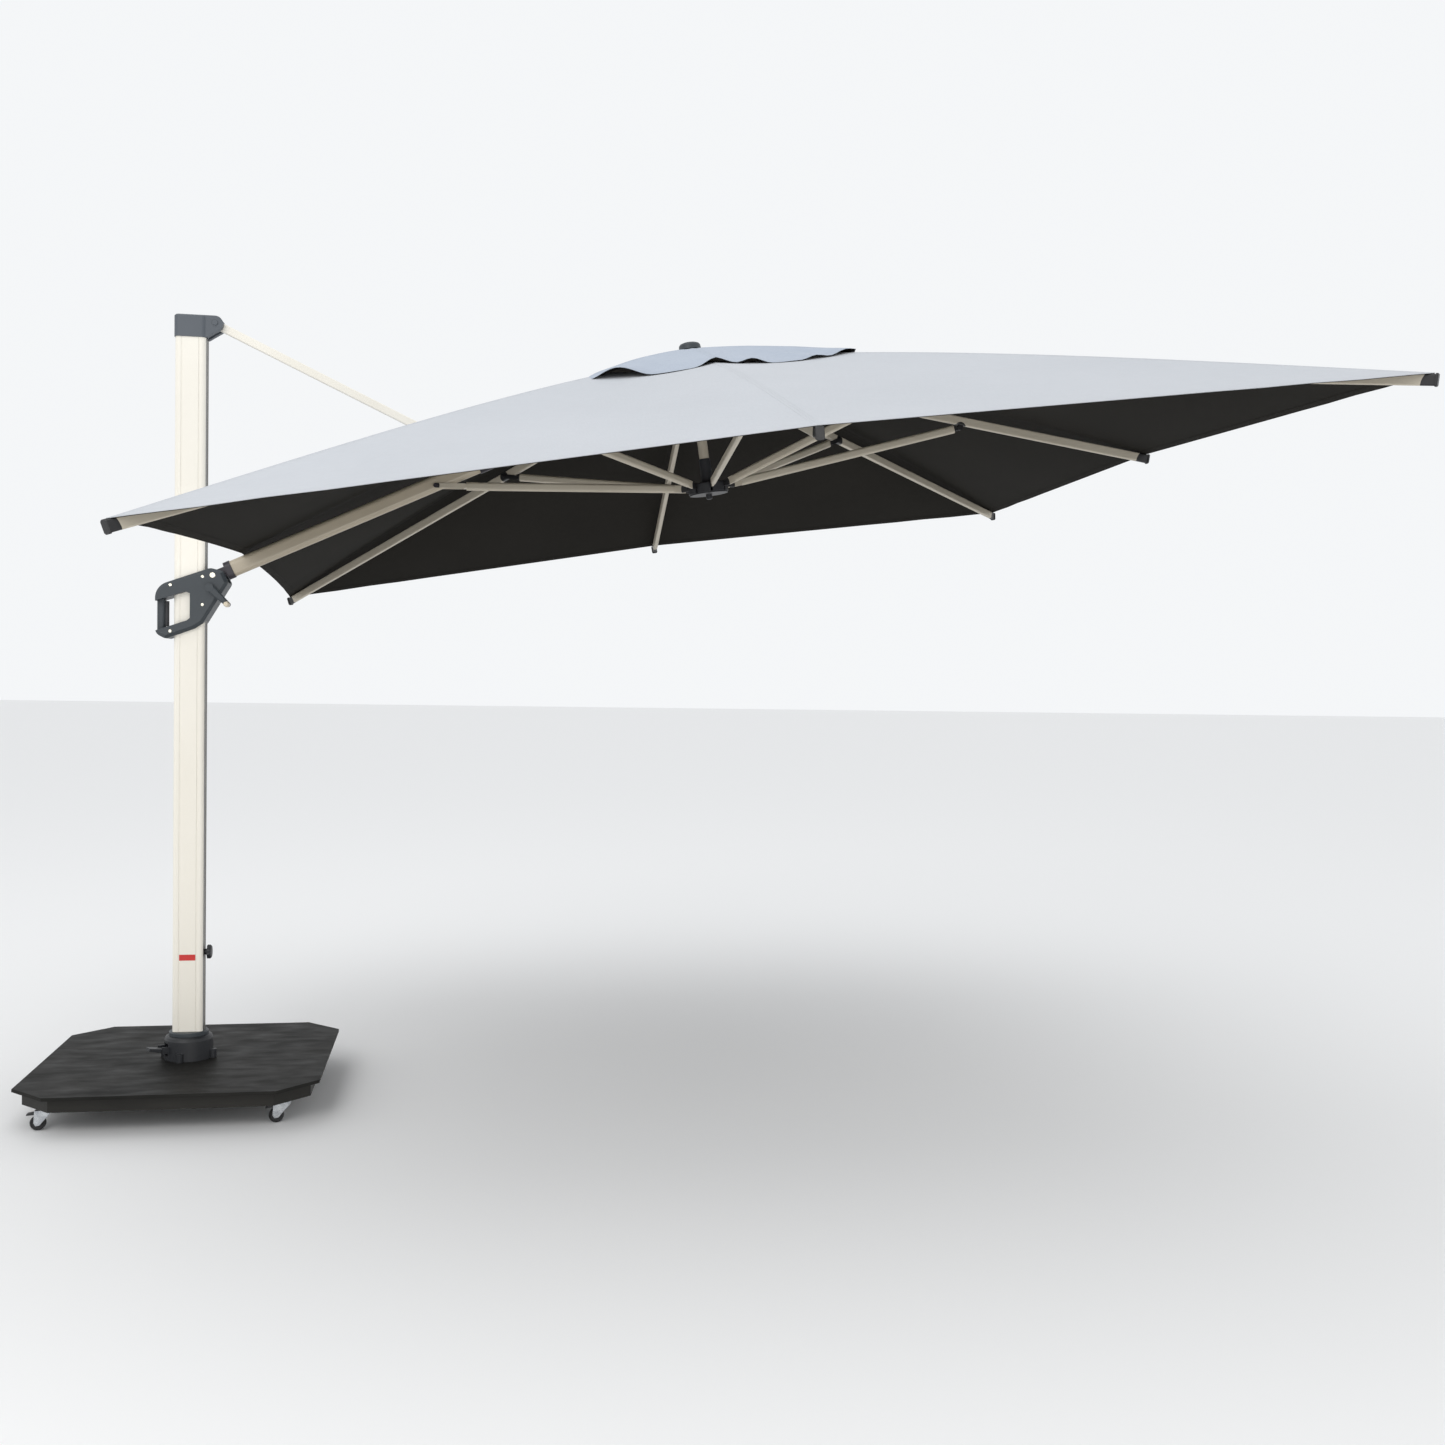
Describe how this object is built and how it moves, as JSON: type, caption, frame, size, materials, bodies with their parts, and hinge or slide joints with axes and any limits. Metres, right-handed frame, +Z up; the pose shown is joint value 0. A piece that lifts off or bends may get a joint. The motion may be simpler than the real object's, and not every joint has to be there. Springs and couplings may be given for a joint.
{
  "type": "cantilever patio umbrella",
  "caption": "Square cantilever patio umbrella: folding ribs on a side mast with a lifting slider, on a weighted wheeled base.",
  "frame": {"origin": "the mast's axis at floor level, midway between the casters", "axes": "+Z up, +X from the mast towards the canopy, -Y the front"},
  "size_m": [3.5069, 3.0244, 2.3631],
  "materials": {
    "black_steel": "satin black powder coat",
    "tray_steel": "dark grey-brown painted sheet",
    "frame_steel": "painted steel",
    "concrete": "cast concrete",
    "zinc": "zinc plated",
    "bolt_nickel": "pale nickel",
    "tyre": "hard black tread",
    "slate_plastic": "slate grey moulded plastic",
    "black_plastic": "fine grain black plastic",
    "light_plastic": "light moulded plastic",
    "ivory_alu": "ivory powder coat",
    "root_cast": "dark powder coat",
    "sand_alu": "sand powder coat",
    "canopy_fabric": "woven canopy cloth"
  },
  "bodies": {
    "base": {"base_cover": "black_steel", "base_tray": "tray_steel", "cross_frame": "frame_steel", "ballast_slabs": "concrete", "base_flange": "frame_steel", "caster_plates": "zinc", "collar_housing": "black_plastic"},
    "mast": {"turntable": "slate_plastic", "mast_tube": "ivory_alu", "mast_spigot": "frame_steel", "mast_cap": "slate_plastic"},
    "foot_pedal": {"foot_pedal": "black_plastic"},
    "lock_knob": {"lock_knob": "slate_plastic"},
    "top_strut": {"top_strut": "ivory_alu"},
    "arm": {"arm_tube": "ivory_alu", "arm_root": "root_cast", "arm_sleeve": "root_cast", "arm_head": "root_cast"},
    "slider": {"slider_shell_front": "slate_plastic", "slider_shell_rear": "slate_plastic", "slider_screws": "bolt_nickel", "grip_bar": "slate_plastic"},
    "trigger": {"trigger": "black_plastic"},
    "crank_arm": {"crank_arm": "slate_plastic"},
    "crank_knob": {"crank_knob": "light_plastic"},
    "hub": {"top_hub": "black_plastic", "finial": "black_plastic", "canopy": "canopy_fabric", "vent_flap": "canopy_fabric"},
    "runner": {"lower_hub": "black_plastic", "hub_tube": "sand_alu"},
    "caster_fork_front_left": {"caster_fork_front_left": "zinc"},
    "caster_wheel_front_left": {"caster_wheel_front_left": "tyre"},
    "caster_brake_front_left": {"caster_brake_front_left": "black_plastic"},
    "caster_fork_front_right": {"caster_fork_front_right": "zinc"},
    "caster_wheel_front_right": {"caster_wheel_front_right": "tyre"},
    "caster_brake_front_right": {"caster_brake_front_right": "black_plastic"},
    "caster_fork_rear_left": {"caster_fork_rear_left": "zinc"},
    "caster_wheel_rear_left": {"caster_wheel_rear_left": "tyre"},
    "caster_brake_rear_left": {"caster_brake_rear_left": "black_plastic"},
    "caster_fork_rear_right": {"caster_fork_rear_right": "zinc"},
    "caster_wheel_rear_right": {"caster_wheel_rear_right": "tyre"},
    "caster_brake_rear_right": {"caster_brake_rear_right": "black_plastic"},
    "rib_outer": {"rib_outer": "sand_alu"},
    "stay_outer": {"stay_outer": "sand_alu"},
    "rib_rear_right": {"rib_rear_right": "sand_alu"},
    "stay_rear_right": {"stay_rear_right": "sand_alu"},
    "rib_rear": {"rib_rear": "sand_alu"},
    "stay_rear": {"stay_rear": "sand_alu"},
    "rib_rear_left": {"rib_rear_left": "sand_alu"},
    "stay_rear_left": {"stay_rear_left": "sand_alu"},
    "rib_front_left": {"rib_front_left": "sand_alu"},
    "stay_front_left": {"stay_front_left": "sand_alu"},
    "rib_front": {"rib_front": "sand_alu"},
    "stay_front": {"stay_front": "sand_alu"},
    "rib_front_right": {"rib_front_right": "sand_alu"},
    "stay_front_right": {"stay_front_right": "sand_alu"},
    "stay_arm": {"stay_arm": "sand_alu"}
  },
  "joints": [
    {"name": "mast_turn", "type": "hinge", "parent": "base", "child": "mast", "pos_m": [0, 0, 0], "axis": [0, 0, 1], "continuous": true},
    {"name": "foot_pedal_rock", "type": "hinge", "parent": "base", "child": "foot_pedal", "pos_m": [-0.06928, -0.04, 0.146], "axis": [0.5, -0.866, 0], "range_deg": [0, 12]},
    {"name": "caster_swivel_front_left", "type": "hinge", "parent": "base", "child": "caster_fork_front_left", "pos_m": [-0.322, -0.322, 0], "axis": [0, 0, 1], "continuous": true},
    {"name": "caster_roll_front_left", "type": "hinge", "parent": "caster_fork_front_left", "child": "caster_wheel_front_left", "pos_m": [-0.344, -0.322, 0.021], "axis": [0, 1, 0], "continuous": true},
    {"name": "caster_brake_front_left", "type": "hinge", "parent": "caster_fork_front_left", "child": "caster_brake_front_left", "pos_m": [-0.349, -0.322, 0.047], "axis": [0, 1, 0], "range_deg": [0, 25]},
    {"name": "caster_swivel_front_right", "type": "hinge", "parent": "base", "child": "caster_fork_front_right", "pos_m": [0.322, -0.322, 0], "axis": [0, 0, 1], "continuous": true},
    {"name": "caster_roll_front_right", "type": "hinge", "parent": "caster_fork_front_right", "child": "caster_wheel_front_right", "pos_m": [0.3, -0.322, 0.021], "axis": [0, 1, 0], "continuous": true},
    {"name": "caster_brake_front_right", "type": "hinge", "parent": "caster_fork_front_right", "child": "caster_brake_front_right", "pos_m": [0.295, -0.322, 0.047], "axis": [0, 1, 0], "range_deg": [0, 25]},
    {"name": "caster_swivel_rear_left", "type": "hinge", "parent": "base", "child": "caster_fork_rear_left", "pos_m": [-0.322, 0.322, 0], "axis": [0, 0, 1], "continuous": true},
    {"name": "caster_roll_rear_left", "type": "hinge", "parent": "caster_fork_rear_left", "child": "caster_wheel_rear_left", "pos_m": [-0.344, 0.322, 0.021], "axis": [0, 1, 0], "continuous": true},
    {"name": "caster_brake_rear_left", "type": "hinge", "parent": "caster_fork_rear_left", "child": "caster_brake_rear_left", "pos_m": [-0.349, 0.322, 0.047], "axis": [0, 1, 0], "range_deg": [0, 25]},
    {"name": "caster_swivel_rear_right", "type": "hinge", "parent": "base", "child": "caster_fork_rear_right", "pos_m": [0.322, 0.322, 0], "axis": [0, 0, 1], "continuous": true},
    {"name": "caster_roll_rear_right", "type": "hinge", "parent": "caster_fork_rear_right", "child": "caster_wheel_rear_right", "pos_m": [0.3, 0.322, 0.021], "axis": [0, 1, 0], "continuous": true},
    {"name": "caster_brake_rear_right", "type": "hinge", "parent": "caster_fork_rear_right", "child": "caster_brake_rear_right", "pos_m": [0.295, 0.322, 0.047], "axis": [0, 1, 0], "range_deg": [0, 25]},
    {"name": "lock_knob_turn", "type": "hinge", "parent": "mast", "child": "lock_knob", "pos_m": [0.045, 0, 0.436], "axis": [1, 0, 0], "continuous": true},
    {"name": "lift", "type": "hinge", "parent": "mast", "child": "top_strut", "pos_m": [0.07, 0, 2.338], "axis": [0, 1, 0], "range_deg": [-6, 38]},
    {"name": "arm_on_strut", "type": "hinge", "parent": "top_strut", "child": "arm", "pos_m": [0.88, 0, 1.9595], "axis": [0, 1, 0], "range_deg": [-76.02, 12.02]},
    {"name": "slider_on_arm", "type": "hinge", "parent": "arm", "child": "slider", "pos_m": [0.07, 0, 1.581], "axis": [0, 1, 0], "range_deg": [-6.02, 38.02]},
    {"name": "trigger_press", "type": "slide", "parent": "slider", "child": "trigger", "axis": [-1, 0, 0], "range_m": [0, 0.006], "stiffness_N_per_m": 300, "springref_m": -0.003},
    {"name": "fold", "type": "hinge", "parent": "arm", "child": "hub", "pos_m": [1.47143, 0, 2.23587], "axis": [0, 1, 0], "range_deg": [0, 56.17], "deforming": ["canopy", "vent_flap"]},
    {"name": "rib_hinge_outer", "type": "hinge", "parent": "hub", "child": "rib_outer", "pos_m": [1.58259, 0, 2.27702], "axis": [0, 1, 0], "range_deg": [0, 54.88]},
    {"name": "stay_hinge_outer", "type": "hinge", "parent": "rib_outer", "child": "stay_outer", "pos_m": [2.4151, 0, 2.13121], "axis": [0, 1, 0], "range_deg": [-120.21, 0]},
    {"name": "rib_hinge_rear_right", "type": "hinge", "parent": "hub", "child": "rib_rear_right", "pos_m": [1.56579, 0.04101, 2.27452], "axis": [-0.6994, 0.7071, -0.104], "range_deg": [0, 60.48]},
    {"name": "stay_hinge_rear_right", "type": "hinge", "parent": "rib_rear_right", "child": "stay_rear_right", "pos_m": [2.15513, 0.60955, 2.17666], "axis": [-0.6994, 0.7071, -0.104], "range_deg": [-120.94, 0]},
    {"name": "rib_hinge_rear", "type": "hinge", "parent": "hub", "child": "rib_rear", "pos_m": [1.52522, 0.058, 2.26849], "axis": [-0.9891, 0, -0.1471], "range_deg": [0, 54.88]},
    {"name": "stay_hinge_rear", "type": "hinge", "parent": "rib_rear", "child": "stay_rear", "pos_m": [1.56446, 0.86, 2.00468], "axis": [-0.9891, 0, -0.1471], "range_deg": [-120.21, 0]},
    {"name": "rib_hinge_rear_left", "type": "hinge", "parent": "hub", "child": "rib_rear_left", "pos_m": [1.48465, 0.04101, 2.26246], "axis": [-0.6994, -0.7071, -0.104], "range_deg": [0, 60.48]},
    {"name": "stay_hinge_rear_left", "type": "hinge", "parent": "rib_rear_left", "child": "stay_rear_left", "pos_m": [0.9493, 0.60955, 1.99731], "axis": [-0.6994, -0.7071, -0.104], "range_deg": [-120.94, 0]},
    {"name": "rib_hinge_front_left", "type": "hinge", "parent": "hub", "child": "rib_front_left", "pos_m": [1.48465, -0.04101, 2.26246], "axis": [0.6994, -0.7071, 0.104], "range_deg": [0, 60.48]},
    {"name": "stay_hinge_front_left", "type": "hinge", "parent": "rib_front_left", "child": "stay_front_left", "pos_m": [0.9493, -0.60955, 1.99731], "axis": [0.6994, -0.7071, 0.104], "range_deg": [-120.94, 0]},
    {"name": "rib_hinge_front", "type": "hinge", "parent": "hub", "child": "rib_front", "pos_m": [1.52522, -0.058, 2.26849], "axis": [0.9891, 0, 0.1471], "range_deg": [0, 54.88]},
    {"name": "stay_hinge_front", "type": "hinge", "parent": "rib_front", "child": "stay_front", "pos_m": [1.56446, -0.86, 2.00468], "axis": [0.9891, 0, 0.1471], "range_deg": [-120.21, 0]},
    {"name": "rib_hinge_front_right", "type": "hinge", "parent": "hub", "child": "rib_front_right", "pos_m": [1.56579, -0.04101, 2.27452], "axis": [0.6994, 0.7071, 0.104], "range_deg": [0, 60.48]},
    {"name": "stay_hinge_front_right", "type": "hinge", "parent": "rib_front_right", "child": "stay_front_right", "pos_m": [2.15513, -0.60955, 2.17666], "axis": [0.6994, 0.7071, 0.104], "range_deg": [-120.94, 0]},
    {"name": "stay_hinge_arm", "type": "hinge", "parent": "arm", "child": "stay_arm", "pos_m": [0.72398, 0, 1.87777], "axis": [0, 1, 0], "range_deg": [0, 121.75]},
    {"name": "runner_on_stay", "type": "hinge", "parent": "stay_front_left", "child": "runner", "pos_m": [1.53865, -0.04101, 1.89945], "axis": [0.6994, -0.7071, 0.104], "range_deg": [0, 60.48]},
    {"name": "crank_turn", "type": "hinge", "parent": "slider", "child": "crank_arm", "pos_m": [0.063, 0, 1.543], "axis": [0, 1, 0], "range_deg": [0, 2160.03]},
    {"name": "crank_knob_spin", "type": "hinge", "parent": "crank_arm", "child": "crank_knob", "pos_m": [0.11639, 0, 1.49321], "axis": [0, 1, 0], "continuous": true}
  ],
  "couplings": [
    {"joint": "arm_on_strut", "follows": "lift", "ratio": -2},
    {"joint": "slider_on_arm", "follows": "lift", "ratio": 1},
    {"joint": "rib_hinge_outer", "follows": "fold", "ratio": 0.97661},
    {"joint": "stay_hinge_outer", "follows": "fold", "ratio": -2.1397},
    {"joint": "rib_hinge_rear_right", "follows": "fold", "ratio": 1.0764},
    {"joint": "stay_hinge_rear_right", "follows": "fold", "ratio": -2.1529},
    {"joint": "rib_hinge_rear", "follows": "fold", "ratio": 0.97661},
    {"joint": "stay_hinge_rear", "follows": "fold", "ratio": -2.1397},
    {"joint": "rib_hinge_rear_left", "follows": "fold", "ratio": 1.0764},
    {"joint": "stay_hinge_rear_left", "follows": "fold", "ratio": -2.1529},
    {"joint": "rib_hinge_front_left", "follows": "fold", "ratio": 1.0764},
    {"joint": "stay_hinge_front_left", "follows": "fold", "ratio": -2.1529},
    {"joint": "rib_hinge_front", "follows": "fold", "ratio": 0.97661},
    {"joint": "stay_hinge_front", "follows": "fold", "ratio": -2.1397},
    {"joint": "rib_hinge_front_right", "follows": "fold", "ratio": 1.0764},
    {"joint": "stay_hinge_front_right", "follows": "fold", "ratio": -2.1529},
    {"joint": "stay_hinge_arm", "follows": "fold", "ratio": 2.1672},
    {"joint": "runner_on_stay", "follows": "fold", "ratio": 1.0764},
    {"joint": "crank_turn", "follows": "fold", "ratio": 38.455}
  ]
}
